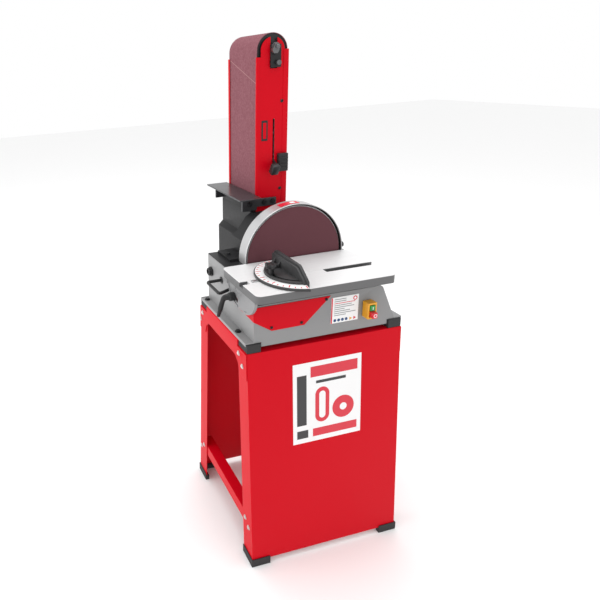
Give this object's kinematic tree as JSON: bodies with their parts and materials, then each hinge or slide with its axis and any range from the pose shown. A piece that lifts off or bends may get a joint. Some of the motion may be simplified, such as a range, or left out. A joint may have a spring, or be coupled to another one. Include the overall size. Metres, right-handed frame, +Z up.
{
  "type": "belt disc sander",
  "caption": "Floor-standing belt and disc sander: upright belt arm behind a guarded disc with a tilting slotted table and mitre gauge, on an open sheet-metal stand.",
  "frame": {"origin": "floor level, under the middle of the stand", "axes": "+X to the right along the front panel, +Y backwards, +Z up; the disc faces -Y and the belt's working run faces -X"},
  "size_m": [0.4219, 0.4724, 1.2233],
  "materials": {
    "red_paint": "gloss paint",
    "grey_paint": "satin paint",
    "black_paint": "satin paint",
    "black_rubber": "matt",
    "black_plastic": "satin",
    "bright_steel": "bright",
    "cast_aluminium": "machined and cast",
    "abrasive": "coated abrasive cloth",
    "yellow_plastic": "satin",
    "white_plate": "printed film",
    "green_plastic": "satin",
    "red_plastic": "satin"
  },
  "bodies": {
    "base": {"stand_front_panel": "red_paint", "stand_back_panel": "red_paint", "stand_rail_left": "red_paint", "stand_rail_right": "red_paint", "stand_stretcher_left": "red_paint", "stand_stretcher_right": "red_paint", "foot_front_left": "black_rubber", "foot_front_right": "black_rubber", "foot_back_left": "black_rubber", "foot_back_right": "black_rubber", "pad_front_left": "black_rubber", "pad_front_right": "black_rubber", "pad_back_left": "black_rubber", "pad_back_right": "black_rubber", "base_casing": "grey_paint", "top_plate": "black_paint", "red_cover": "red_paint", "rating_plate": "white_plate", "switch_box": "yellow_plastic", "carry_handle": "black_plastic", "cable_gland": "black_plastic", "motor_body": "black_paint", "drive_belt": "black_rubber", "bearing_front": "bright_steel", "bearing_middle": "bright_steel", "bearing_rear": "bright_steel", "drum_housing": "black_paint", "drum_hood": "black_paint", "disc_guard": "cast_aluminium", "pivot_bracket_left": "grey_paint", "pivot_bracket_right": "grey_paint"},
    "spindle": {"main_shaft": "bright_steel", "shaft_pulley": "cast_aluminium", "drive_drum": "black_rubber", "disc_plate": "cast_aluminium", "disc_abrasive": "abrasive"},
    "motor_rotor": {"motor_pulley": "bright_steel"},
    "start_button": {"button_start": "green_plastic"},
    "stop_button": {"button_stop": "red_plastic"},
    "guard_screw": {"guard_knob": "black_plastic"},
    "arm": {"arm_side_front": "red_paint", "arm_side_back": "red_paint", "platen": "bright_steel", "arm_spine": "grey_paint", "arm_latch": "black_plastic", "sanding_belt": "abrasive", "tension_spring": "bright_steel"},
    "belt_table": {"belt_table": "black_paint"},
    "tension_lever": {"tension_lever": "black_plastic"},
    "yoke": {"idler_yoke": "bright_steel", "idler_axle": "bright_steel", "tracking_block": "black_paint"},
    "idler": {"idler_drum": "black_plastic"},
    "tracking_screw": {"tracking_knob": "bright_steel"},
    "disc_table": {"disc_table": "cast_aluminium", "table_trunnion": "grey_paint"},
    "clamp_lever": {"table_clamp_lever": "black_plastic"},
    "mitre_bar": {"mitre_bar": "bright_steel"},
    "mitre_head": {"mitre_head": "black_paint"},
    "mitre_knob": {"mitre_knob": "black_plastic"}
  },
  "joints": [
    {"name": "main_spin", "type": "hinge", "parent": "base", "child": "spindle", "pos_m": [0, 0.008, 0.7], "axis": [0, 1, 0], "continuous": true},
    {"name": "motor_spin", "type": "hinge", "parent": "base", "child": "motor_rotor", "pos_m": [0.1, 0.066, 0.608], "axis": [0, 1, 0], "continuous": true},
    {"name": "start_press", "type": "slide", "parent": "base", "child": "start_button", "axis": [0, 1, 0], "range_m": [0, 0.003], "stiffness_N_per_m": 300},
    {"name": "stop_press", "type": "slide", "parent": "base", "child": "stop_button", "axis": [0, 1, 0], "range_m": [0, 0.003], "stiffness_N_per_m": 300},
    {"name": "guard_knob_turn", "type": "hinge", "parent": "base", "child": "guard_screw", "pos_m": [0.1293, 0.022, 0.705], "axis": [1, 0, 0], "range_deg": [-180, 180]},
    {"name": "arm_tilt", "type": "hinge", "parent": "base", "child": "arm", "pos_m": [0, 0.199, 0.7], "axis": [0, 1, 0], "range_deg": [0, 90]},
    {"name": "belt_table_adjust", "type": "slide", "parent": "arm", "child": "belt_table", "axis": [-1, 0, 0], "range_m": [-0.001, 0.01]},
    {"name": "tension_release", "type": "hinge", "parent": "arm", "child": "tension_lever", "pos_m": [0.005, 0.199, 0.957], "axis": [-1, 0, 0], "range_deg": [0, 60]},
    {"name": "tension_slide", "type": "slide", "parent": "arm", "child": "yoke", "axis": [0, 0, -1], "range_m": [0, 0.004], "deforming": ["tension_spring"]},
    {"name": "idler_spin", "type": "hinge", "parent": "yoke", "child": "idler", "pos_m": [0, 0.124, 1.18277], "axis": [0, 1, 0], "continuous": true},
    {"name": "tracking_turn", "type": "hinge", "parent": "yoke", "child": "tracking_screw", "pos_m": [0.0085, 0.1137, 1.153], "axis": [0, 1, 0], "range_deg": [-180, 180]},
    {"name": "table_tilt", "type": "hinge", "parent": "base", "child": "disc_table", "pos_m": [0, -0.073, 0.684], "axis": [1, 0, 0], "range_deg": [0, 17]},
    {"name": "clamp_turn", "type": "hinge", "parent": "base", "child": "clamp_lever", "pos_m": [-0.177, -0.054, 0.65], "axis": [1, 0, 0], "range_deg": [-100, 30]},
    {"name": "mitre_slide", "type": "slide", "parent": "disc_table", "child": "mitre_bar", "axis": [1, 0, 0], "range_m": [-0.06, 0.12]},
    {"name": "mitre_turn", "type": "hinge", "parent": "mitre_bar", "child": "mitre_head", "pos_m": [-0.06, -0.094, 0.6973], "axis": [0, 0, 1], "range_deg": [-47, 47]},
    {"name": "mitre_knob_turn", "type": "hinge", "parent": "mitre_bar", "child": "mitre_knob", "pos_m": [-0.117, -0.094, 0.6968], "axis": [0, 0, 1], "range_deg": [-180, 180]}
  ],
  "couplings": [
    {"joint": "motor_spin", "follows": "main_spin", "ratio": 1.504},
    {"joint": "idler_spin", "follows": "main_spin", "ratio": 1},
    {"joint": "tension_slide", "follows": "tension_release", "m_per_rad": 0.00381}
  ]
}
